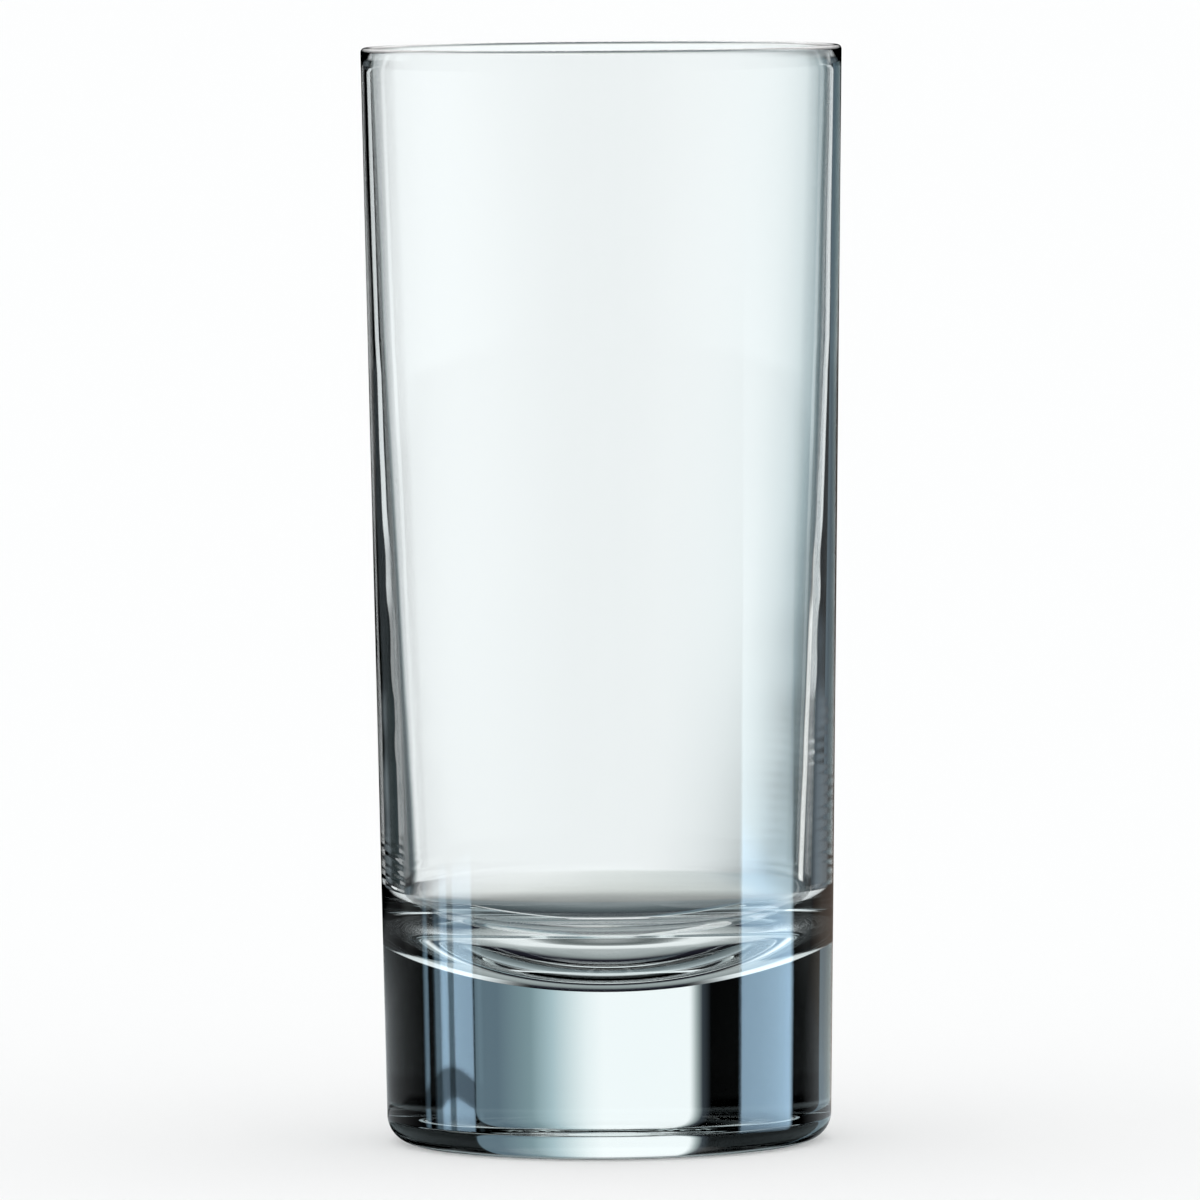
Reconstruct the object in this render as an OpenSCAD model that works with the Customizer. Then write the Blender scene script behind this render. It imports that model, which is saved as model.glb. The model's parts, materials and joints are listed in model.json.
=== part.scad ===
// Highball glass: a tall, straight-sided tumbler of clear glass with a heavy base.
// The real glass is one piece. It is drawn here as the four zones that a glassmaker
// names, stacked face to face: foot, heavy base, side wall and fire-polished lip.
// Lengths are in millimetres. +Z runs up the glass's axis from the table it stands on.

/* [Overall] */
// Height from the table to the top of the lip
glass_h = 146; // [125:1:165]
// Diameter across the outside at the lip
rim_d = 64; // [60:0.5:72]
// Diameter that the straight outside taper would reach at the table
foot_d = 59.2; // [55:0.2:64]

/* [Lip] */
// Wall thickness at the lip, which is rounded to half of this
lip_wall = 1.2; // [1:0.05:2.2]
// Height of the fire-polished lip band
lip_h = 2.4; // [1.8:0.2:4]

/* [Side wall] */
// Wall thickness at the knee, where the inside taper changes
knee_wall = 1.65; // [1.3:0.05:2.6]
// Height of the knee above the table
knee_z = 105; // [70:1:115]
// Wall thickness where the side wall meets the heavy base
root_wall = 2.85; // [2:0.05:4]

/* [Heavy base] */
// Height of the top of the heavy base, where the inside corner has become wall
base_h = 36; // [35:0.5:42]
// Height of the lowest point of the inside floor
floor_z = 20.9; // [14:0.1:21.5]
// Radius of the dished inside floor
dish_r = 44; // [42:1:60]
// Radius of the inside corner between floor and wall
corner_r = 8; // [4:0.5:9]

/* [Foot] */
// Height of the foot, the band that holds the rounded heel
foot_h = 5; // [4.2:0.2:8]
// Radius of the rounded heel
heel_r = 3.6; // [2:0.2:4]
// Width of the flat ring that the glass stands on
ring_w = 3; // [1.5:0.25:5]
// Depth of the shallow hollow inside the standing ring
punt_h = 0.6; // [0.4:0.1:1.5]

/* [Hidden] */
GLASS_TINT = [0.84, 0.93, 0.92];
GLASS_ALPHA = 0.45;
$fn = 180;
// Sides of the very wide circle behind the shallow hollow under the foot
PUNT_FN = 1440;

// The outside is one straight cone from the table to the lip
taper = (rim_d - foot_d) / 2 / glass_h;
function outer_r(z) = foot_d / 2 + taper * z;

// The inside has two straight tapers that meet at the knee
lip_r = lip_wall / 2;
lip_z = glass_h - lip_r;
lip_base_z = glass_h - lip_h;
lip_in = [outer_r(lip_z) - lip_wall, lip_z];
knee_in = [outer_r(knee_z) - knee_wall, knee_z];
root_in = [outer_r(base_h) - root_wall, base_h];
function on_line(a, b, z) = a[0] + (b[0] - a[0]) * (z - a[1]) / (b[1] - a[1]);
lip_base_in = [on_line(knee_in, lip_in, lip_base_z), lip_base_z];

// The inside corner is a round that touches the root's taper and the dished floor.
// Its centre lies corner_r inside the wall's line and dish_r - corner_r from the
// dish's centre, which gives a quadratic for its height.
root_k = (knee_in[0] - root_in[0]) / (knee_in[1] - root_in[1]);
root_n = sqrt(1 + root_k * root_k);
dish_c = [0, floor_z + dish_r];
shift_r = root_in[0] - root_k * base_h - corner_r * root_n;
quad_a = root_n * root_n;
quad_b = 2 * (root_k * shift_r - dish_c[1]);
quad_c = shift_r * shift_r + dish_c[1] * dish_c[1] - pow(dish_r - corner_r, 2);
corner_z = (-quad_b - sqrt(quad_b * quad_b - 4 * quad_a * quad_c)) / (2 * quad_a);
corner_c = [shift_r + root_k * corner_z, corner_z];
corner_top = corner_c + corner_r * [1, -root_k] / root_n;
corner_low = dish_c + dish_r * (corner_c - dish_c) / (dish_r - corner_r);

// The heel touches the outside cone and the table
taper_n = sqrt(1 + taper * taper);
heel_c = [foot_d / 2 + taper * heel_r - heel_r * taper_n, heel_r];
heel_top = heel_c + heel_r * [1, -taper] / taper_n;
heel_low = [heel_c[0], 0];

// The hollow under the foot is a cap of a wide sphere inside the standing ring
punt_edge_r = heel_c[0] - ring_w;
punt_ball_r = (punt_edge_r * punt_edge_r + punt_h * punt_h) / (2 * punt_h);

// The sliver of a disc between its arc and the chord from p to q, both on the arc
module arc_cap(centre, r, p, q) {
    intersection() {
        translate(centre) circle(r);
        polygon([p, 2 * p - centre, 2 * q - centre, q]);
    }
}

// Half section of the drinking space below the knee: core, dished floor and round corner
module cavity_section() {
    polygon([[0, floor_z], corner_low, corner_top, root_in, knee_in, [0, knee_z]]);
    arc_cap(dish_c, dish_r, [0, floor_z], corner_low);
    arc_cap(corner_c, corner_r, corner_low, corner_top);
}

// Half section of the heel band, before the hollow underneath is taken out
module heel_section() {
    polygon([[0, 0], heel_low, heel_top, [outer_r(foot_h), foot_h], [0, foot_h]]);
    arc_cap(heel_c, heel_r, heel_low, heel_top);
}

// Band that carries the rounded heel, the flat standing ring and the hollow inside it
module foot() {
    color(GLASS_TINT, GLASS_ALPHA) rotate_extrude() difference() {
        heel_section();
        intersection() {
            translate([0, punt_h - punt_ball_r]) circle(punt_ball_r, $fn = PUNT_FN);
            square([punt_edge_r, punt_h]);
        }
    }
}

// Thick block of glass with the dished floor and the round inside corner
module heavy_base() {
    color(GLASS_TINT, GLASS_ALPHA) rotate_extrude() difference() {
        polygon([
            [0, foot_h],
            [outer_r(foot_h), foot_h],
            [outer_r(base_h), base_h],
            [0, base_h]
        ]);
        cavity_section();
    }
}

// Thin wall that thickens downwards, from the lip band to the heavy base
module side_wall() {
    color(GLASS_TINT, GLASS_ALPHA) rotate_extrude() polygon([
        root_in,
        [outer_r(base_h), base_h],
        [outer_r(lip_base_z), lip_base_z],
        lip_base_in,
        knee_in
    ]);
}

// Drinking edge, melted round over the whole thickness of the wall
module lip() {
    color(GLASS_TINT, GLASS_ALPHA) rotate_extrude() {
        polygon([lip_base_in, [outer_r(lip_base_z), lip_base_z], [outer_r(lip_z), lip_z], lip_in]);
        intersection() {
            translate([lip_in[0] + lip_r, lip_z]) circle(lip_r);
            translate(lip_in) square([lip_wall, lip_r]);
        }
    }
}

foot();
heavy_base();
side_wall();
lip();
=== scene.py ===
# %% [markdown]
# A highball glass in clear soda-lime glass.
#
# The real glass is one piece. A gob of molten glass is pressed or blown in an iron mould, the
# drinking edge is melted round in a flame, and nothing is fitted to it afterwards. The frame
# holds it as four zones that sit face to face: foot, heavy base, side wall and lip. A picture
# of glass must not show those inner faces, because light would bend at each of them. So this
# scene makes one closed skin that runs over all four zones, and it takes every size from them.

# %% Load the frame
import json
import math

import bpy
import numpy as np
from mathutils import Matrix, Vector

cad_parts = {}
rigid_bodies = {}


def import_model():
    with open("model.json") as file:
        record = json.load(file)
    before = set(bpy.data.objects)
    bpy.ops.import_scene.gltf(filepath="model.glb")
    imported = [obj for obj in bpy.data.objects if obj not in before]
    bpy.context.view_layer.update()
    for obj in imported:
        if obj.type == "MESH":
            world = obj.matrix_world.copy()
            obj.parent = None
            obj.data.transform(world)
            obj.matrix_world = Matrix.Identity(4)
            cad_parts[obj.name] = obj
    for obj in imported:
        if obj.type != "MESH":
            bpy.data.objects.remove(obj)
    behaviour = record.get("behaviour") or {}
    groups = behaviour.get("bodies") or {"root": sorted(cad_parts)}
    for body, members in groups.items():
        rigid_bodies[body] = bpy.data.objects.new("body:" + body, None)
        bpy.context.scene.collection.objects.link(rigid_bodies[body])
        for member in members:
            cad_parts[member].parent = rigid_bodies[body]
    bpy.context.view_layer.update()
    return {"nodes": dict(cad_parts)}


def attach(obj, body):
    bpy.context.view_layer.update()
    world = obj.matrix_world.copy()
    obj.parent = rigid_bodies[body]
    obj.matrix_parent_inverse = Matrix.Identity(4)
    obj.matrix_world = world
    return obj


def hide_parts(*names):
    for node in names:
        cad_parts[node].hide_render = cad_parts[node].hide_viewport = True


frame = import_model()

# %% [markdown]
# A turned piece is known by its half section, so each vertex of a zone is read as a radius and
# a height. The vertices lie on the true surface. They give the straight sizes directly, and
# the three round ones, dish, inside corner and heel, come from circles laid through them.

# %% Read the half section of each zone


def half_section(node):
    """Distance from the glass's axis and height of every vertex of a node, in metres."""
    mesh = frame["nodes"][node].data
    spots = np.empty(len(mesh.vertices) * 3)
    mesh.vertices.foreach_get("co", spots)
    spots = spots.reshape(-1, 3)
    return np.hypot(spots[:, 0], spots[:, 1]), spots[:, 2]


def circle_through(radius, height):
    """Least-squares circle: r² + z² = 2·a·r + 2·b·z + c is linear in its centre (a, b) and c."""
    columns = np.stack([2 * radius, 2 * height, np.ones_like(radius)], axis=1)
    a, b, c = np.linalg.lstsq(columns, radius**2 + height**2, rcond=None)[0]
    return a, b, math.sqrt(c + a * a + b * b)


def off_line(radius, height, start, end):
    """Distance of points from the straight line through start and end, each a (radius, height)."""
    along = np.subtract(end, start)
    across = np.array([along[1], -along[0]]) / math.hypot(*along)
    return (radius - start[0]) * across[0] + (height - start[1]) * across[1]


NEAR = 1e-5  # two sizes closer than this are the same one

foot_rad, foot_up = half_section("foot")
base_rad, base_up = half_section("heavy_base")
wall_rad, wall_up = half_section("side_wall")
lip_rad, lip_up = half_section("lip")

glass_top = lip_up.max()
lip_centre_rad = lip_rad[lip_up > glass_top - NEAR].mean()
lip_round = lip_rad.max() - lip_centre_rad
lip_centre_up = glass_top - lip_round
side_low = (foot_rad[foot_up > foot_up.max() - NEAR].max(), foot_up.max())
side_high = (lip_rad.max(), lip_centre_up)

base_top, wall_top = wall_up.min(), wall_up.max()
wall_depth = off_line(wall_rad, wall_up, side_high, side_low)
inner = wall_depth > lip_round
root = (wall_rad[wall_up < base_top + NEAR].min(), base_top)
wall_end = (wall_rad[wall_up > wall_top - NEAR].min(), wall_top)
bend = abs(off_line(wall_rad[inner], wall_up[inner], root, wall_end))
knee = (wall_rad[inner][bend.argmax()], wall_up[inner][bend.argmax()])
print(f"height {glass_top * 1e3:.1f} mm, lip {lip_rad.max() * 2e3:.1f} mm across")
print(f"knee at {knee[1] * 1e3:.1f} mm, heavy base up to {base_top * 1e3:.1f} mm")

# %% [markdown]
# The floor of the drinking space is a shallow dish, and a small round joins it to the wall. A
# vertex is on the dish if the sphere through it and the lowest point has the dish's radius.
# Those that are on neither the dish nor the wall's straight taper belong to the round corner.

# %% Measure the dish, the inside corner, the heel and the hollow under the foot
foot_top = foot_up.max()
floor_up = base_up[(base_rad < NEAR) & (base_up > foot_top + NEAR)].min()
skin = (base_rad > NEAR) & (base_rad < root[0] - NEAR) & (base_up > floor_up + NEAR)
skin &= base_up < base_top - NEAR
skin_rad, skin_up = base_rad[skin], base_up[skin]
rise = skin_up - floor_up
ball = (skin_rad**2 + rise**2) / (2 * rise)
dish_round = float(np.median(ball[skin_rad < root[0] / 2]))
on_dish = abs(ball - dish_round) < dish_round * 1e-3
on_taper = abs(off_line(skin_rad, skin_up, root, knee)) < NEAR
bend_rad, bend_up = skin_rad[~on_dish & ~on_taper], skin_up[~on_dish & ~on_taper]
corner_rad, corner_up, corner_round = circle_through(bend_rad, bend_up)

stand_out = foot_rad[foot_up < NEAR].max()
stand_in = foot_rad[foot_up < NEAR].min()
hollow_up = foot_up[(foot_rad < NEAR) & (foot_up < foot_top / 2)].max()
turn = (foot_rad > stand_out + NEAR) & (off_line(foot_rad, foot_up, side_high, side_low) > NEAR)
heel_rad, heel_up, heel_round = circle_through(foot_rad[turn], foot_up[turn])
print(f"floor at {floor_up * 1e3:.1f} mm, dish {dish_round * 1e3:.1f} mm round")
print(f"corner {corner_round * 1e3:.2f} mm, heel {heel_round * 1e3:.2f} mm round")
print(f"standing ring {stand_in * 2e3:.1f} to {stand_out * 2e3:.1f} mm across")

# %% [markdown]
# The skin is turned on a lathe, like a pot: one line is drawn from the axis under the foot,
# round the heel, up the outside, over the lip, down the inside and back to the axis on the
# floor. Spin and Screw could turn it, but a grid worked out with numpy lets each ring carry
# the marks of the mould later, so the line is built here from straights and arcs.

# %% Draw the half section from the measured sizes


def straight(start, end, count):
    """Points (1 - t)·start + t·end for t from 0 up to, but not including, 1."""
    t = np.arange(count)[:, None] / count
    return (1 - t) * np.asarray(start) + t * np.asarray(end)


def arc(centre, radius, start, end, count):
    """Points centre + radius·(cos a, sin a) for an angle a from start up to just before end."""
    a = start + (end - start) * np.arange(count) / count
    return np.asarray(centre) + radius * np.stack([np.cos(a), np.sin(a)], axis=1)


def outward(start, end):
    """Unit normal of a line that climbs from start to end, on the side away from the axis."""
    along = np.subtract(end, start)
    return np.array([along[1], -along[0]]) / math.hypot(*along)


QUARTER = math.pi / 2
side_out = outward(side_low, side_high)
wall_out = outward(root, knee)
hollow_ball = (stand_in**2 + hollow_up**2) / (2 * hollow_up)
hollow_mid = np.array([0.0, hollow_up - hollow_ball])
hollow_edge = math.atan2(-hollow_mid[1], stand_in)
heel_mid = np.array([heel_rad, heel_up])
side_turn = math.atan2(side_out[1], side_out[0])
lip_mid = np.array([lip_centre_rad, lip_centre_up])
corner_mid = np.array([corner_rad, corner_up])
dish_mid = np.array([0.0, floor_up + dish_round])
wall_turn = math.atan2(wall_out[1], wall_out[0])
dish_turn = math.atan2(*(corner_mid - dish_mid)[::-1])
heel_end = heel_mid + heel_round * side_out
corner_start = corner_mid + corner_round * wall_out
FINE_SHARE = 0.36  # share of the way from the heavy base to the knee that carries fine marks
fine_top = np.array(root) + (np.array(knee) - root) * FINE_SHARE

# Rows of the mesh along each stretch; the marked wall has several to each ring of the mould
HOLLOW_ROWS = 20
RING_ROWS = 6
HEEL_ROWS = 16
OUTSIDE_ROWS = 56
LIP_ROWS = 14
THIN_WALL_ROWS = 16
WALL_ROWS = 22
MARKED_ROWS = 120
CORNER_ROWS = 26
DISH_ROWS = 34

section = np.concatenate([
    arc(hollow_mid, hollow_ball, QUARTER, hollow_edge, HOLLOW_ROWS),
    straight((stand_in, 0.0), (stand_out, 0.0), RING_ROWS),
    arc(heel_mid, heel_round, -QUARTER, side_turn, HEEL_ROWS),
    straight(heel_end, side_high, OUTSIDE_ROWS),
    arc(lip_mid, lip_round, 0.0, math.pi, LIP_ROWS),
    straight((lip_centre_rad - lip_round, lip_centre_up), knee, THIN_WALL_ROWS),
    straight(knee, fine_top, WALL_ROWS),
    straight(fine_top, corner_start, MARKED_ROWS),
    arc(corner_mid, corner_round, wall_turn, dish_turn, CORNER_ROWS),
    arc(dish_mid, dish_round, dish_turn, -QUARTER, DISH_ROWS),
    [[0.0, floor_up]],
])
print(f"half section of {len(section)} points")

# %% [markdown]
# Pressed glass is never quite even. Where the plunger touched the hot glass and it chilled
# first, low on the inside, the skin keeps fine level rings about 1.5 mm apart and about a
# hundredth of a millimetre deep. They gather on the two sides where the halves of the mould
# met, deeper on the left, and fainter ones climb the wall on the right. Above them the wall
# only swells and thins by a few thousandths of a millimetre. None of it can be felt, but it
# bends light, and it is why the edges of a real glass shimmer. It is made in the mesh, because
# light passes this skin and a painted bump would look flat.

# %% Uneven skin of pressed glass


def hump(value, start, middle, end):
    """0 below start, 1 at middle, 0 above end, on two smooth cosine slopes."""
    up = np.clip((value - start) / (middle - start), 0, 1)
    down = np.clip((end - value) / (end - middle), 0, 1)
    return (0.5 - 0.5 * np.cos(math.pi * up)) * (0.5 - 0.5 * np.cos(math.pi * down))


RING_PITCH = 0.0015  # mean height between two chill rings
RING_DEPTH = 9.0e-6
RIGHT_RINGS = 0.4  # depth of the rings on the right, as a share of the left
SIDE_POWER = 6  # a higher one gathers the rings closer to the two sides
WANDER = [(1.8, 2, 0.6), (1.4, 5, 2.1), (1.0, 9, 0.0)]  # strength, waves round the glass, start
PATCH_PITCH = 0.0052  # height over which the rings gather and part
PATCH_SHARE = 0.4  # how much of a ring's depth comes and goes with the patches
PATCH_WAVES = 7  # patches round the glass
DRIFT = [(1.0, 1.0, 4), (1.2, 0.4, 2)]  # strength, speed up the wall, waves round the glass
RUNG_DEPTH = 9.0e-7  # fainter rings that climb the wall on the right
SWELL_PITCH = 0.0105  # height of one slow swell of the wall
SWELL_DEPTH = 3.5e-6
SWELL_POWER = 4
SWELL_SWAY = 0.8  # how far the swells rise and fall round the glass
SWELL_START = 0.3

# Heights where the marks start, are deepest and end
RING_HEIGHTS = (floor_up + 0.002, base_top - 0.004, base_top + 0.008)
RUNG_HEIGHTS = (base_top - 0.002, base_top + 0.01, fine_top[1] + 0.004)
SWELL_HEIGHTS = (corner_up, base_top + 0.012, knee[1])


def mould_marks(height, turn, is_inner):
    """Lift along the normal: sines of height whose phase wanders with sines of the turn and
    drifts with slower sines of height. A power of the cosine of the turn gathers them on two
    sides, and humps of height keep them low on the inner wall."""
    up = 2 * math.pi * height
    patch = up / PATCH_PITCH
    wander = sum(size * np.sin(waves * turn + start) for size, waves, start in WANDER)
    drift = sum(size * np.sin(speed * patch + waves * turn) for size, speed, waves in DRIFT)
    rings = np.sin(up / RING_PITCH + wander + drift)
    rings *= 1 - PATCH_SHARE + PATCH_SHARE * np.sin(patch + PATCH_WAVES * turn)
    right = np.clip(np.cos(turn), 0, 1) ** SIDE_POWER
    left = np.clip(-np.cos(turn), 0, 1) ** SIDE_POWER
    lift = RING_DEPTH * hump(height, *RING_HEIGHTS) * (left + RIGHT_RINGS * right) * rings
    lift += RUNG_DEPTH * hump(height, *RUNG_HEIGHTS) * right * np.sin(up / RING_PITCH)
    swells = np.sin(up / SWELL_PITCH + SWELL_SWAY * np.sin(turn + SWELL_START))
    swells *= np.cos(turn) ** SWELL_POWER
    return is_inner * (lift + SWELL_DEPTH * hump(height, *SWELL_HEIGHTS) * swells)


# %% [markdown]
# The grid has one row for each point of the half section and one column for each step of the
# turn. The two end points lie on the axis, so each becomes one vertex with a fan of triangles
# round it, and the skin is closed.

# %% Turn the half section into a closed skin
TURN_STEPS = 300


def section_normals(points):
    """Unit normals of the line: its direction, by central differences, turned a quarter."""
    along = np.gradient(points, axis=0)
    across = np.stack([along[:, 1], -along[:, 0]], axis=1)
    return across / np.linalg.norm(across, axis=1, keepdims=True)


def turned_skin(points, steps, lift):
    """Surface (r·cos a, r·sin a, z) for every point (r, z) of the half section and every
    angle a, with each spot moved along the section's normal by lift(z, a, inner or not)."""
    normals = section_normals(points)
    top_row = points[:, 1].argmax()
    is_inner = (np.arange(len(points)) > top_row)[1:-1, None]
    turn = 2 * math.pi * np.arange(steps) / steps
    height = points[1:-1, 1][:, None] + 0 * turn
    push = lift(height, turn[None, :], is_inner)
    radius = points[1:-1, 0][:, None] + push * normals[1:-1, 0][:, None]
    height = height + push * normals[1:-1, 1][:, None]
    grid = np.stack([radius * np.cos(turn), radius * np.sin(turn), height], axis=-1)
    poles = np.array([[0, 0, points[0, 1]], [0, 0, points[-1, 1]]])
    spots = np.concatenate([grid.reshape(-1, 3), poles])

    rows = len(points) - 2
    row, step = np.meshgrid(np.arange(rows - 1), np.arange(steps), indexing="ij")
    after = (step + 1) % steps
    low, high = row * steps, (row + 1) * steps
    quads = np.stack([low + step, low + after, high + after, high + step], axis=-1).reshape(-1, 4)
    ring = np.arange(steps)
    beside = (ring + 1) % steps
    first, last = rows * steps, rows * steps + 1
    under_fan = np.stack([np.full(steps, first), beside, ring], axis=1)
    end_ring = (rows - 1) * steps
    floor_fan = np.stack([np.full(steps, last), end_ring + ring, end_ring + beside], axis=1)
    return spots, quads, np.concatenate([under_fan, floor_fan])


def mesh_piece(name, spots, quads, triangles):
    """One mesh object at the origin, with smooth faces."""
    mesh = bpy.data.meshes.new(name)
    mesh.from_pydata(spots.tolist(), [], quads.tolist() + triangles.tolist())
    mesh.polygons.foreach_set("use_smooth", np.ones(len(mesh.polygons), bool))
    mesh.validate()
    mesh.update()
    piece = bpy.data.objects.new(name, mesh)
    bpy.context.scene.collection.objects.link(piece)
    return piece


def held_volume(spots, quads, triangles):
    """Signed volume inside the skin: a sixth of the sum of a·(b × c) over all triangles."""
    faces = np.concatenate([quads[:, [0, 1, 2]], quads[:, [0, 2, 3]], triangles])
    a, b, c = spots[faces[:, 0]], spots[faces[:, 1]], spots[faces[:, 2]]
    return np.einsum("ij,ij->i", a, np.cross(b, c)).sum() / 6


skin_parts = turned_skin(section, TURN_STEPS, mould_marks)
glass = mesh_piece("glass_body", *skin_parts)
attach(glass, "root")
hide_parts("foot", "heavy_base", "side_wall", "lip")
cup = section[section[:, 1].argmax():]
slices = (cup[1:, 0] ** 2 + cup[:-1, 0] ** 2) / 2 * (cup[:-1, 1] - cup[1:, 1])
brimful = math.pi * slices.sum()
print(f"glass_body: {len(skin_parts[1]) * 2 + TURN_STEPS * 2} triangles")
print(f"glass {held_volume(*skin_parts) * 1e6:.1f} ml, holds {brimful * 1e6:.0f} ml to the brim")

# %% [markdown]
# Soda-lime glass bends light by 1.52 and takes up a little of it, most in the red, so thick
# glass looks faintly cool. The shader does the bending and a volume does the taking up. The
# outside is smooth from the flame, so only the ring that it stands on is scuffed. A node group
# finds that ring and gives the slow unevenness of a fire-polished skin, because both change
# over the surface, while the numbers that never change stay on the shader's own sockets.

# %% Node helpers


def socket_in(tree, value, socket):
    """Puts a number, a colour or another node's output into a socket."""
    if isinstance(value, bpy.types.NodeSocket):
        tree.links.new(value, socket)
    elif isinstance(value, tuple) and len(value) == 3:
        socket.default_value = (*value, 1.0) if len(socket.default_value) == 4 else value
    else:
        socket.default_value = value


def sum_of(tree, operation, first, second=0.0, clamp=False):
    """One Math node: the operation of two numbers."""
    node = tree.nodes.new("ShaderNodeMath")
    node.operation = operation
    node.use_clamp = clamp
    socket_in(tree, first, node.inputs[0])
    socket_in(tree, second, node.inputs[1])
    return node.outputs[0]


def climb(tree, value, start, end, low=0.0, high=1.0):
    """Goes from low to high, smoothly, while value goes from start to end."""
    node = tree.nodes.new("ShaderNodeMapRange")
    node.interpolation_type = "SMOOTHSTEP"
    for name, number in (("From Min", start), ("From Max", end), ("To Min", low), ("To Max", high)):
        node.inputs[name].default_value = number
    socket_in(tree, value, node.inputs["Value"])
    return node.outputs["Result"]


def group_with(name, numbers_in, numbers_out):
    """A shader node group with named number sockets, and its two end nodes."""
    tree = bpy.data.node_groups.new(name, "ShaderNodeTree")
    for label, number in numbers_in.items():
        entry = tree.interface.new_socket(label, in_out="INPUT", socket_type="NodeSocketFloat")
        entry.default_value = number
    for label in numbers_out:
        tree.interface.new_socket(label, in_out="OUTPUT", socket_type="NodeSocketFloat")
    return tree, tree.nodes.new("NodeGroupInput"), tree.nodes.new("NodeGroupOutput")


# %% Fire-polished skin
PEEL_SIZE = 160.0  # waves of slow unevenness in a metre
PEEL_DEPTH = 1.2e-5
SCUFF_SIZE = 2600.0
SCUFF_HEIGHT = 0.00015  # how far above the table the standing ring is rubbed
SCUFF_ROUGHNESS = 0.5
PEEL_STRETCH = (1.0, 1.0, 0.35)  # the waves run about three times longer along the axis
GLASS_BEND = 1.52  # refractive index of soda-lime glass
BODY_TINT = (0.55, 0.86, 0.88, 1.0)
BODY_DENSITY = 2.2  # a metre takes up this times what the tint lacks of white


def fire_polish_group():
    """Height: soft noise stretched along the axis. Scuff: fine noise where z is near the table."""
    tree, start, end = group_with(
        "fire_polish", {"Peel Size": PEEL_SIZE, "Peel Depth": PEEL_DEPTH}, ["Height", "Scuff"]
    )
    place = tree.nodes.new("ShaderNodeTexCoord")
    stretch = tree.nodes.new("ShaderNodeMapping")
    stretch.inputs["Scale"].default_value = PEEL_STRETCH
    tree.links.new(place.outputs["Object"], stretch.inputs["Vector"])
    peel = tree.nodes.new("ShaderNodeTexNoise")
    peel.inputs["Detail"].default_value = 0.0
    tree.links.new(stretch.outputs[0], peel.inputs["Vector"])
    tree.links.new(start.outputs["Peel Size"], peel.inputs["Scale"])
    height = sum_of(tree, "MULTIPLY", peel.outputs["Fac"], start.outputs["Peel Depth"])
    tree.links.new(height, end.inputs["Height"])
    split = tree.nodes.new("ShaderNodeSeparateXYZ")
    tree.links.new(place.outputs["Object"], split.inputs[0])
    low = climb(tree, split.outputs["Z"], SCUFF_HEIGHT, 0.0)
    rub = tree.nodes.new("ShaderNodeTexNoise")
    rub.inputs["Scale"].default_value = SCUFF_SIZE
    tree.links.new(place.outputs["Object"], rub.inputs["Vector"])
    tree.links.new(sum_of(tree, "MULTIPLY", low, rub.outputs["Fac"]), end.inputs["Scuff"])
    return tree


def clear_glass():
    """Glass: refraction by 1.52, a skin from the group, and a faint cool volume."""
    material = bpy.data.materials.new("clear_glass")
    material.use_nodes = True
    tree = material.node_tree
    shader = tree.nodes["Principled BSDF"]
    shader.inputs["Base Color"].default_value = (1.0, 1.0, 1.0, 1.0)
    shader.inputs["IOR"].default_value = GLASS_BEND
    shader.inputs["Transmission Weight"].default_value = 1.0
    skin = tree.nodes.new("ShaderNodeGroup")
    skin.node_tree = fire_polish_group()
    bump = tree.nodes.new("ShaderNodeBump")
    bump.inputs["Distance"].default_value = 1.0
    tree.links.new(skin.outputs["Height"], bump.inputs["Height"])
    tree.links.new(bump.outputs["Normal"], shader.inputs["Normal"])
    rubbed = sum_of(tree, "MULTIPLY", skin.outputs["Scuff"], SCUFF_ROUGHNESS)
    tree.links.new(rubbed, shader.inputs["Roughness"])
    body = tree.nodes.new("ShaderNodeVolumeAbsorption")
    body.inputs["Color"].default_value = BODY_TINT
    body.inputs["Density"].default_value = BODY_DENSITY
    tree.links.new(body.outputs[0], tree.nodes["Material Output"].inputs["Volume"])
    return material


glass.data.materials.append(clear_glass())
print("material:", glass.data.materials[0].name)

# %% [markdown]
# Clear glass has no colour of its own: it shows the studio bent through it and the studio
# mirrored on it. In the photograph a bright panel stands behind the glass, with a sharp left
# edge and a soft fall to the right. Two tall soft boxes at its sides are mirrored low on the
# outside, the left one behind bars, and the rest of the room is dark, which draws the black
# edges. Real panels on all sides would light the floor and hide one another in other views,
# so the room is painted on the world by direction instead: azimuth in degrees to the right of
# straight behind the glass, and elevation above the horizon. The whole room sits about half
# a degree lower than its marked elevations, which fits the photograph best.
#
# Light that came straight through meets the panel, and again a panel at each quarter turn, so
# that the glass reads as clear from its other sides too. The panel's right part is shaded
# towards its foot, a narrow lamp stands right of it low down, and a dark screen closes the
# near edge of the panel at the right. Below them lie the gleam of the panel on the table and
# the table, dark further out and pale right below the glass.
#
# Light mirrored on the outside meets the two boxes, pale surroundings above them, a light
# high above that the rounded lip catches, and the pale table when it falls steeply.
#
# Light mirrored inside the glass meets only the panel straight behind, up to about 43 degrees,
# then pale surroundings, dim light and a glow of the table at both sides, the table and the
# room above, and the thin bright line that runs down each side of a real glass. What the
# camera or the floor sees directly is one plain pale tone.

# %% Panel, boxes and table, by direction


def grey(tone):
    """A colour without hue."""
    return (tone, tone, tone)


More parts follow.
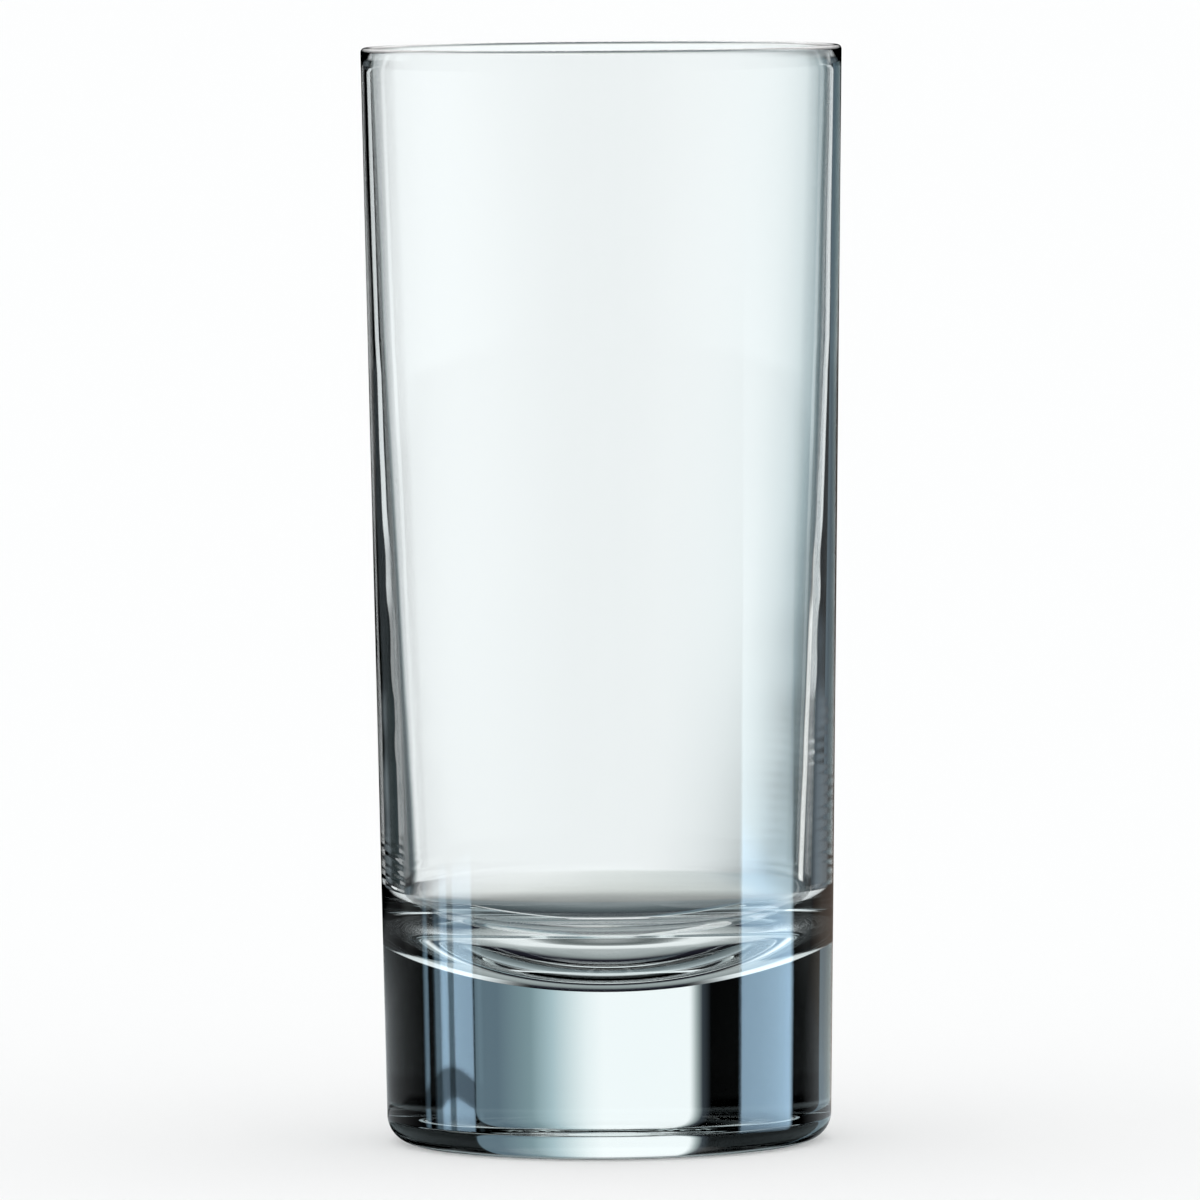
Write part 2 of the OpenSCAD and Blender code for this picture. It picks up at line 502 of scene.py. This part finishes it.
# Spans of degrees that a strip of colour covers
RIGHT_ANGLE = 90.0
ALL_ROUND = (-2 * RIGHT_ANGLE, 2 * RIGHT_ANGLE)
QUARTER_ROUND = (-RIGHT_ANGLE / 2, RIGHT_ANGLE / 2)
MAIN_SPAN = (-50.0, 50.0)
BELOW = (-RIGHT_ANGLE, 0.0)
ABOVE = (0.0, RIGHT_ANGLE)
LEFT_BOX_SPAN = (-9.0, -5.0)
RIGHT_BOX_SPAN = (-24.0, 0.0)
LINE_SPAN = (-8.0, 0.0)

BLACK = grey(0.0)
PALE = grey(0.98)
FLOOR_LIGHT = grey(1.19)
PANEL_WHITE = (1.0, 1.05, 1.055)
PANEL = [  # azimuth, colour: a sharp left edge and a soft fall to the right
    (-19.0, BLACK),
    (-17.2, (0.04, 0.05, 0.06)),
    (-16.0, (0.36, 0.42, 0.42)),
    (-14.6, PANEL_WHITE),
    (1.0, PANEL_WHITE),
    (4.0, (0.88, 0.96, 0.97)),
    (6.5, (0.70, 0.81, 0.83)),
    (10.0, (0.43, 0.57, 0.61)),
    (14.0, (0.22, 0.32, 0.35)),
    (21.0, (0.12, 0.18, 0.22)),
    (26.4, (0.12, 0.18, 0.22)),
    (26.8, BLACK),
]
BOX = (0.47, 0.71, 0.92)
BOX_HALF = (0.14, 0.22, 0.28)
BOX_POWER = 10.0
BOXES = [  # azimuth, colour: the left box stands behind uprights, the right one is clear
    (-111.5, BLACK),
    (-111.0, (0.04, 0.06, 0.07)),
    (-109.4, (0.04, 0.06, 0.07)),
    (-108.8, BLACK),
    (-106.2, BLACK),
    (-105.6, BOX),
    (-93.8, BOX),
    (-93.2, BOX_HALF),
    (-89.6, BOX_HALF),
    (-88.6, BOX),
    (-84.6, BOX),
    (-83.8, BOX_HALF),
    (-79.5, BOX_HALF),
    (-78.5, BLACK),
    (-74.4, BLACK),
    (-73.8, BOX_HALF),
    (-70.6, BOX_HALF),
    (-70.0, BLACK),
    (8.0, (0.045, 0.048, 0.05)),
    (38.0, (0.04, 0.043, 0.045)),
    (60.0, BLACK),
    (69.2, BLACK),
    (72.2, BOX),
    (107.8, BOX),
    (108.4, BLACK),
]
RIGHT_SHARE = [  # elevation, share of the right box: it fades upwards
    (-20.0, BLACK),
    (-9.0, grey(0.55)),
    (-6.8, grey(1.0)),
    (-5.75, grey(1.0)),
    (-5.55, (0.85, 0.75, 0.66)),
    (-5.2, (0.70, 0.56, 0.46)),
    (-4.8, (0.42, 0.31, 0.25)),
    (-4.4, (0.30, 0.22, 0.18)),
    (-3.9, (0.22, 0.16, 0.13)),
    (-3.0, (0.14, 0.10, 0.08)),
    (-1.0, BLACK),
]
LEFT_SHARE = [  # elevation, share of the left box: it ends below the drinking space
    (-9.0, BLACK),
    (-9.0, grey(0.55)),
    (-6.8, grey(1.0)),
    (-6.72, grey(1.0)),
    (-6.70, grey(0.3)),
    (-6.59, grey(0.3)),
    (-6.57, grey(1.0)),
    (-6.05, grey(1.0)),
    (-5.85, grey(0.5)),
    (-5.6, BLACK),
]
TOP_LIGHT = [  # elevation, share of the light high above that the rounded lip mirrors
    (4.0, BLACK),
    (9.0, grey(0.17)),
    (16.0, grey(0.40)),
    (21.0, grey(0.55)),
    (29.0, grey(0.95)),
    (44.0, grey(0.80)),
    (60.0, BLACK),
]
TOP_POWER = 4.6
BAR_MIDDLE = -98.0  # azimuth of the middle of the left box's level bar
BAR_LEAN = 0.011  # rise of that bar in a degree of azimuth
GLEAM = [  # azimuth, colour of the panel's gleam on the table, which is narrower
    (-17.0, BLACK),
    (-11.0, (0.60, 0.63, 0.64)),
    (-6.5, (1.02, 1.07, 1.08)),
    (-1.5, (1.02, 1.07, 1.06)),
    (0.5, (0.86, 0.92, 0.90)),
    (2.5, (0.70, 0.77, 0.77)),
    (4.0, (0.48, 0.56, 0.58)),
    (6.5, (0.30, 0.37, 0.39)),
    (10.0, (0.20, 0.26, 0.29)),
    (26.0, BLACK),
]
GLEAM_SHARE = [  # elevation, share of the gleam
    (-34.0, BLACK),
    (-30.0, (0.32, 0.33, 0.33)),
    (-24.0, grey(0.44)),
    (-19.0, (0.80, 0.80, 0.79)),
    (-12.0, grey(0.90)),
    (0.0, grey(1.0)),
]
TABLE = [  # elevation, tone of the table: pale right below the glass, dark further out
    (-90.0, (1.12, 1.16, 1.16)),
    (-76.5, (1.12, 1.16, 1.16)),
    (-72.5, (0.10, 0.12, 0.13)),
    (-60.0, (0.03, 0.04, 0.05)),
    (-52.0, (0.10, 0.13, 0.14)),
    (-45.0, (0.19, 0.23, 0.24)),
    (-30.0, (0.26, 0.30, 0.31)),
    (-14.0, (0.10, 0.13, 0.14)),
    (-8.0, BLACK),
]
UNDER = [  # elevation, tone of the table in light that was mirrored inside the base
    (-90.0, (0.42, 0.45, 0.45)),
    (-76.0, (0.10, 0.12, 0.12)),
    (-69.0, (0.30, 0.33, 0.33)),
    (-65.0, (0.92, 0.97, 0.97)),
    (-54.0, (0.85, 0.90, 0.90)),
    (-47.0, (0.50, 0.54, 0.54)),
    (-36.0, (0.34, 0.38, 0.38)),
    (-31.0, (0.24, 0.27, 0.27)),
    (-26.0, (0.02, 0.02, 0.03)),
    (-10.0, BLACK),
]
OVER = [  # elevation, tone of the room above in the same light
    (4.0, BLACK),
    (12.0, (0.42, 0.48, 0.50)),
    (20.0, (0.42, 0.48, 0.50)),
    (27.0, (0.24, 0.28, 0.29)),
    (37.0, (0.14, 0.17, 0.18)),
    (45.0, BLACK),
    (62.0, BLACK),
    (69.0, (0.86, 0.91, 0.91)),
    (90.0, (0.86, 0.91, 0.91)),
]
CEILING = (0.27, 0.31, 0.32)  # the room above, in light that came straight through
ROOM_DROP = 0.46  # how far the whole painted room sits below its marked elevations, in degrees
FOOT_SHADE = 0.74  # how much the panel's right part darkens towards its foot
SURROUND = (0.62, 0.67, 0.68)  # pale surroundings at both sides
STEEP_TABLE = (0.90, 0.92, 0.92)  # the table right below, mirrored on the outside
SIDE_GLOW = (0.88, 0.94, 0.95)  # the table at both sides, seen by light mirrored inside
DIM_SIDES = [  # azimuth, dim light at both sides, low down, in light mirrored inside
    (-46.0, BLACK),
    (-40.0, (0.05, 0.07, 0.08)),
    (-33.0, (0.02, 0.03, 0.03)),
    (-27.0, (0.03, 0.04, 0.04)),
    (-21.0, (0.20, 0.24, 0.26)),
    (-10.0, (0.20, 0.24, 0.26)),
    (-6.0, BLACK),
    (12.0, BLACK),
    (20.0, (0.18, 0.23, 0.26)),
    (36.0, (0.13, 0.17, 0.20)),
    (44.0, BLACK),
]
LINE_LIGHT = (1.05, 1.12, 1.13)
LINE_PLACE = [  # elevation, azimuth of the bright line's light as a share of a right angle
    (-6.6, grey(0.51)),
    (-6.0, grey(0.467)),
    (-5.4, grey(0.40)),
    (-5.0, grey(0.378)),
    (-3.0, grey(0.333)),
    (-1.0, grey(0.311)),
]
LINE_LEFT = 4.5  # how much nearer to the middle it stands on the left, in degrees
LINE_HALF = 3.4  # half the width of that light, in degrees
LINE_SOFT = 0.8  # half the width of its soft edges
LINE_LEFT_KEPT = 0.35  # share of it that is left low down on the left
LINE_RIGHT_KEPT = 0.1  # the same on the right
SCREEN_PLACE = 77.0  # azimuth of a dark screen at the near edge of the right-hand panel
SCREEN_HALF = 9.0  # half its width
SCREEN_SOFT = 1.0  # half the width of its soft edges
LAMP_LIGHT = (1.25, 1.30, 1.28)
LAMP_PLACE = 16.8  # azimuth of the narrow lamp right of the panel, low down
LAMP_HALF = 1.5  # half its width
LAMP_SOFT = 0.6  # half the width of its soft edges

# Each edge below is two degrees: none of the tone at the first, all of it at the second.
# Edges by azimuth, or by how far aside of straight behind the glass:
SHADE_SIDE = (0.0, 8.0)
MAIN_LEFT = (-14.0, -8.0)
SURROUND_SIDE = (44.0, 50.0)
SURROUND_BACK = (180.0, 80.0)
OUTSIDE_SIDE = (44.0, 60.0)  # side of the surroundings that the outside mirrors
GLOW_MIDDLE = (12.0, 26.0)
GLOW_SIDE = (78.0, 60.0)

# Edges by elevation:
SHADE_LOW = (-4.1, -6.3)
LAMP_LOW = (-4.9, -5.3)
TABLE_LOW = (-7.4, -9.8)
SLANTED_LOW = (-8.0, -11.0)  # faint gleams between the panels
CEILING_HIGH = (37.0, 43.0)
MAIN_LOW = (-7.5, -6.0)
MAIN_HIGH = (46.0, 40.0)
SURROUND_LOW = (-5.9, -5.3)
SURROUND_HIGH = (2.0, 0.5)
OUTSIDE_LOW = (-5.9, -4.5)
DIM_HIGH = (-5.7, -6.7)
DIM_LOW = (-11.0, -8.5)
GLOW_HIGH = (-9.5, -11.5)
GLOW_LOW = (-34.0, -30.0)
LINE_LOW = (-7.3, -6.9)
LINE_LEFT_FADE = (-6.1, -5.4)
LINE_RIGHT_FADE = (-6.8, -6.3)
STEEP_LOW = (-55.0, -68.0)


def strip(tree, value, span, stops):
    """Colour Ramp over a span of degrees; stops give a degree and the colour there."""
    low, high = span
    along = sum_of(tree, "SUBTRACT", value, low)
    along = sum_of(tree, "DIVIDE", along, high - low, clamp=True)
    node = tree.nodes.new("ShaderNodeValToRGB")
    handles = node.color_ramp.elements
    handles.remove(handles[0])
    for index, (degree, colour) in enumerate(stops):
        share = (degree - low) / (high - low)
        handle = handles[0] if index == 0 else handles.new(share)
        handle.position = share
        handle.color = (*colour, 1.0)
    tree.links.new(along, node.inputs[0])
    return node.outputs[0]


def mix(tree, share, first, second, kind="MIX"):
    """Colour Mix node: first where share is 0, second where it is 1."""
    node = tree.nodes.new("ShaderNodeMix")
    node.data_type = "RGBA"
    node.blend_type = kind
    socket_in(tree, share, node.inputs[0])
    socket_in(tree, first, node.inputs[6])
    socket_in(tree, second, node.inputs[7])
    return node.outputs[2]


def wrapped(tree, value, span):
    """The value moved by whole lengths of the span until it lies in it."""
    node = tree.nodes.new("ShaderNodeMath")
    node.operation = "WRAP"
    socket_in(tree, value, node.inputs[0])
    node.inputs[1].default_value = span[1]
    node.inputs[2].default_value = span[0]
    return node.outputs[0]


def apart(tree, value, place):
    """How far the value is from a place, on either side."""
    return sum_of(tree, "ABSOLUTE", sum_of(tree, "SUBTRACT", value, place))


def within(tree, *fades):
    """Product of smooth climbs, each given as a value and the edge that it fades over."""
    shares = [climb(tree, value, *edge) for value, edge in fades]
    share = shares[0]
    for other in shares[1:]:
        share = sum_of(tree, "MULTIPLY", share, other)
    return share


def lit(tree, share, colour):
    """The colour, as strong as the share says."""
    return mix(tree, share, BLACK, colour)


def times(tree, first, second):
    """Two colours multiplied."""
    return mix(tree, 1.0, first, second, "MULTIPLY")


def lighter(tree, first, second):
    """The lighter of two colours in each channel."""
    return mix(tree, 1.0, first, second, "LIGHTEN")


def straight_through(tree, azimuth, elevation):
    """A panel at every quarter turn, its lamp and screen, the table below, the room above."""
    place = wrapped(tree, azimuth, QUARTER_ROUND)
    room = strip(tree, place, QUARTER_ROUND, PANEL)
    shade = within(tree, (place, SHADE_SIDE), (elevation, SHADE_LOW))
    room = mix(tree, sum_of(tree, "MULTIPLY", shade, FOOT_SHADE), room, BLACK)
    screen_edge = (SCREEN_HALF - SCREEN_SOFT, SCREEN_HALF + SCREEN_SOFT)
    beside_screen = climb(tree, apart(tree, azimuth, SCREEN_PLACE), *screen_edge)
    room = lit(tree, beside_screen, room)
    lamp_edge = (LAMP_HALF + LAMP_SOFT, LAMP_HALF - LAMP_SOFT)
    lamp = within(tree, (apart(tree, place, LAMP_PLACE), lamp_edge), (elevation, LAMP_LOW))
    room = lighter(tree, room, lit(tree, lamp, LAMP_LIGHT))
    table = strip(tree, elevation, BELOW, TABLE)
    gleam = strip(tree, place, QUARTER_ROUND, GLEAM)
    gleam = times(tree, gleam, strip(tree, elevation, BELOW, GLEAM_SHARE))
    between = wrapped(tree, sum_of(tree, "ADD", azimuth, RIGHT_ANGLE / 2), QUARTER_ROUND)
    slanted = strip(tree, between, QUARTER_ROUND, PANEL)
    slanted = lit(tree, climb(tree, elevation, *SLANTED_LOW), slanted)
    low = lighter(tree, lighter(tree, table, gleam), slanted)
    seen = mix(tree, climb(tree, elevation, *TABLE_LOW), room, low)
    return mix(tree, climb(tree, elevation, *CEILING_HIGH), seen, CEILING)


def bright_line(tree, azimuth, elevation):
    """The light behind the line down each side: it stands further aside lower down."""
    place = strip(tree, elevation, LINE_SPAN, LINE_PLACE)
    place = sum_of(tree, "MULTIPLY", place, RIGHT_ANGLE)
    is_left = sum_of(tree, "LESS_THAN", azimuth, 0.0)
    place = sum_of(tree, "SUBTRACT", place, sum_of(tree, "MULTIPLY", is_left, LINE_LEFT))
    aside = sum_of(tree, "ABSOLUTE", azimuth)
    edge = (LINE_HALF + LINE_SOFT, LINE_HALF - LINE_SOFT)
    line = within(tree, (apart(tree, aside, place), edge), (elevation, LINE_LOW))
    left_kept = climb(tree, elevation, *LINE_LEFT_FADE, LINE_LEFT_KEPT, 1.0)
    right_kept = climb(tree, elevation, *LINE_RIGHT_FADE, LINE_RIGHT_KEPT, 1.0)
    kept = mix(tree, is_left, right_kept, left_kept)
    return lit(tree, sum_of(tree, "MULTIPLY", line, kept), LINE_LIGHT)


def mirrored_inside(tree, azimuth, elevation):
    """The panel straight behind, pale surroundings at the horizon, dim light at both sides,
    the table, the room above, the table's glow, and the line down each side."""
    aside = sum_of(tree, "ABSOLUTE", azimuth)
    main = within(tree, (azimuth, MAIN_LEFT), (elevation, MAIN_LOW), (elevation, MAIN_HIGH))
    around = within(
        tree,
        (aside, SURROUND_SIDE),
        (aside, SURROUND_BACK),
        (elevation, SURROUND_LOW),
        (elevation, SURROUND_HIGH),
    )
    dim = within(tree, (elevation, DIM_HIGH), (elevation, DIM_LOW))
    glow = within(
        tree,
        (aside, GLOW_MIDDLE),
        (aside, GLOW_SIDE),
        (elevation, GLOW_HIGH),
        (elevation, GLOW_LOW),
    )
    seen = lit(tree, main, strip(tree, azimuth, MAIN_SPAN, PANEL))
    seen = lighter(tree, seen, lit(tree, around, SURROUND))
    seen = lighter(tree, seen, lit(tree, dim, strip(tree, azimuth, MAIN_SPAN, DIM_SIDES)))
    seen = lighter(tree, seen, strip(tree, elevation, BELOW, UNDER))
    seen = lighter(tree, seen, strip(tree, elevation, ABOVE, OVER))
    seen = lighter(tree, seen, lit(tree, glow, SIDE_GLOW))
    return lighter(tree, seen, bright_line(tree, azimuth, elevation))


def mirrored_outside(tree, azimuth, elevation):
    """The two soft boxes low down, the light above, pale surroundings, and the table for
    light that falls steeply."""
    boxes = strip(tree, azimuth, ALL_ROUND, BOXES)
    boxes = times(tree, boxes, grey(BOX_POWER))
    lean = sum_of(tree, "MULTIPLY", sum_of(tree, "SUBTRACT", azimuth, BAR_MIDDLE), BAR_LEAN)
    left = strip(tree, sum_of(tree, "SUBTRACT", elevation, lean), LEFT_BOX_SPAN, LEFT_SHARE)
    right = strip(tree, elevation, RIGHT_BOX_SPAN, RIGHT_SHARE)
    is_right = sum_of(tree, "GREATER_THAN", azimuth, 0.0)
    boxes = times(tree, boxes, mix(tree, is_right, left, right))
    above = strip(tree, elevation, ABOVE, TOP_LIGHT)
    above = times(tree, above, grey(TOP_POWER))
    seen = lighter(tree, boxes, above)
    aside = sum_of(tree, "ABSOLUTE", azimuth)
    around = within(tree, (aside, OUTSIDE_SIDE), (aside, SURROUND_BACK), (elevation, OUTSIDE_LOW))
    seen = lighter(tree, seen, lit(tree, around, SURROUND))
    steep = climb(tree, elevation, *STEEP_LOW)
    return lighter(tree, seen, lit(tree, steep, STEEP_TABLE))


NO_BOUNCE = 0.5  # a count of bounces above this is one or more


def studio_world():
    """World whose tone depends on direction and on what the light met on its way."""
    world = bpy.data.worlds.new("soft_studio")
    world.use_nodes = True
    tree = world.node_tree
    tree.nodes.clear()
    place = tree.nodes.new("ShaderNodeTexCoord")
    split = tree.nodes.new("ShaderNodeSeparateXYZ")
    tree.links.new(place.outputs["Generated"], split.inputs[0])
    degrees = 180 / math.pi
    azimuth = sum_of(tree, "ARCTAN2", split.outputs[0], split.outputs[1])
    azimuth = sum_of(tree, "MULTIPLY", azimuth, degrees)
    elevation = sum_of(tree, "MULTIPLY", sum_of(tree, "ARCSINE", split.outputs[2]), degrees)
    elevation = sum_of(tree, "ADD", elevation, ROOM_DROP)

    light = tree.nodes.new("ShaderNodeLightPath")
    was_mirrored = sum_of(tree, "GREATER_THAN", light.outputs["Glossy Depth"], NO_BOUNCE)
    seen = mix(
        tree,
        light.outputs["Is Transmission Ray"],
        mirrored_outside(tree, azimuth, elevation),
        mirrored_inside(tree, azimuth, elevation),
    )
    seen = mix(tree, was_mirrored, straight_through(tree, azimuth, elevation), seen)
    on_floor = sum_of(tree, "GREATER_THAN", light.outputs["Diffuse Depth"], NO_BOUNCE)
    seen = mix(tree, on_floor, seen, FLOOR_LIGHT)
    seen = mix(tree, light.outputs["Is Camera Ray"], seen, PALE)
    background = tree.nodes.new("ShaderNodeBackground")
    tree.links.new(seen, background.inputs[0])
    output = tree.nodes.new("ShaderNodeOutputWorld")
    tree.links.new(background.outputs[0], output.inputs[0])
    return world


bpy.context.scene.world = studio_world()
bpy.context.scene.view_settings.view_transform = "Standard"
print("world nodes:", len(bpy.context.scene.world.node_tree.nodes))

# %% [markdown]
# The floor is a wide pale disc. Only the camera and the floor's own light meet it: seen
# through the glass it would hide the dark room that draws the edges.

# %% Floor
FLOOR_REACH = 30.0  # metres, far past the edges of the picture
FLOOR_STEPS = 64
FLOOR_TONE = (0.88, 0.88, 0.88, 1.0)


def wide_disc(reach, steps):
    """Centre and a ring (reach·cos a, reach·sin a, 0), joined by a fan of triangles."""
    turn = 2 * math.pi * np.arange(steps) / steps
    ring = np.stack([reach * np.cos(turn), reach * np.sin(turn), 0 * turn], axis=1)
    index = np.arange(steps)
    fan = np.stack([np.full(steps, steps), index, (index + 1) % steps], axis=1)
    return np.concatenate([ring, np.zeros((1, 3))]), fan


def pale_floor():
    """Dull pale paint that mirrors nothing."""
    material = bpy.data.materials.new("pale_floor")
    material.use_nodes = True
    shader = material.node_tree.nodes["Principled BSDF"]
    shader.inputs["Base Color"].default_value = FLOOR_TONE
    shader.inputs["Roughness"].default_value = 1.0
    shader.inputs["Specular IOR Level"].default_value = 0.0
    return material


disc_spots, disc_fan = wide_disc(FLOOR_REACH, FLOOR_STEPS)
floor = mesh_piece("studio_floor", disc_spots, np.empty((0, 4), int), disc_fan)
floor.data.materials.append(pale_floor())
floor.visible_transmission = False
floor.visible_glossy = False

# %% [markdown]
# The camera stands where the photographer's did. The two tapers of the silhouette and the
# curve of the foot say how far and how high: 1.74 m away with a long lens, 18 cm above the
# table, which is about 3 cm above the lip, and tipped half a degree.

# %% Camera
PHOTO_SIDE = 1200
SENSOR = 36.0
CAMERA_BACK = 1.736  # metres from the glass's axis
CAMERA_UP = 0.1796  # metres above the table
PIXELS_PER_METRE = 7516.0  # at the glass's axis
TABLE_ROW = 1142.6  # photo row of the table plane at the axis
AXIS_COLUMN = 605.3  # photo column of the axis
ROLL = math.radians(0.45)

lens = bpy.data.cameras.new("photo_camera")
camera = bpy.data.objects.new("photo_camera", lens)
bpy.context.scene.collection.objects.link(camera)
lens.sensor_width = SENSOR
lens.lens = PIXELS_PER_METRE * CAMERA_BACK / PHOTO_SIDE * SENSOR
stand = Vector((0.0, -CAMERA_BACK, CAMERA_UP))
aim = Vector((
    (PHOTO_SIDE / 2 - AXIS_COLUMN) / PIXELS_PER_METRE,
    0.0,
    (TABLE_ROW - PHOTO_SIDE / 2) / PIXELS_PER_METRE,
))
camera.location = stand
camera.rotation_mode = "QUATERNION"
level_view = (aim - stand).to_track_quat("-Z", "Y")
camera.rotation_quaternion = level_view @ Matrix.Rotation(-ROLL, 4, "Z").to_quaternion()
bpy.context.scene.camera = camera
print(f"lens {lens.lens:.0f} mm")
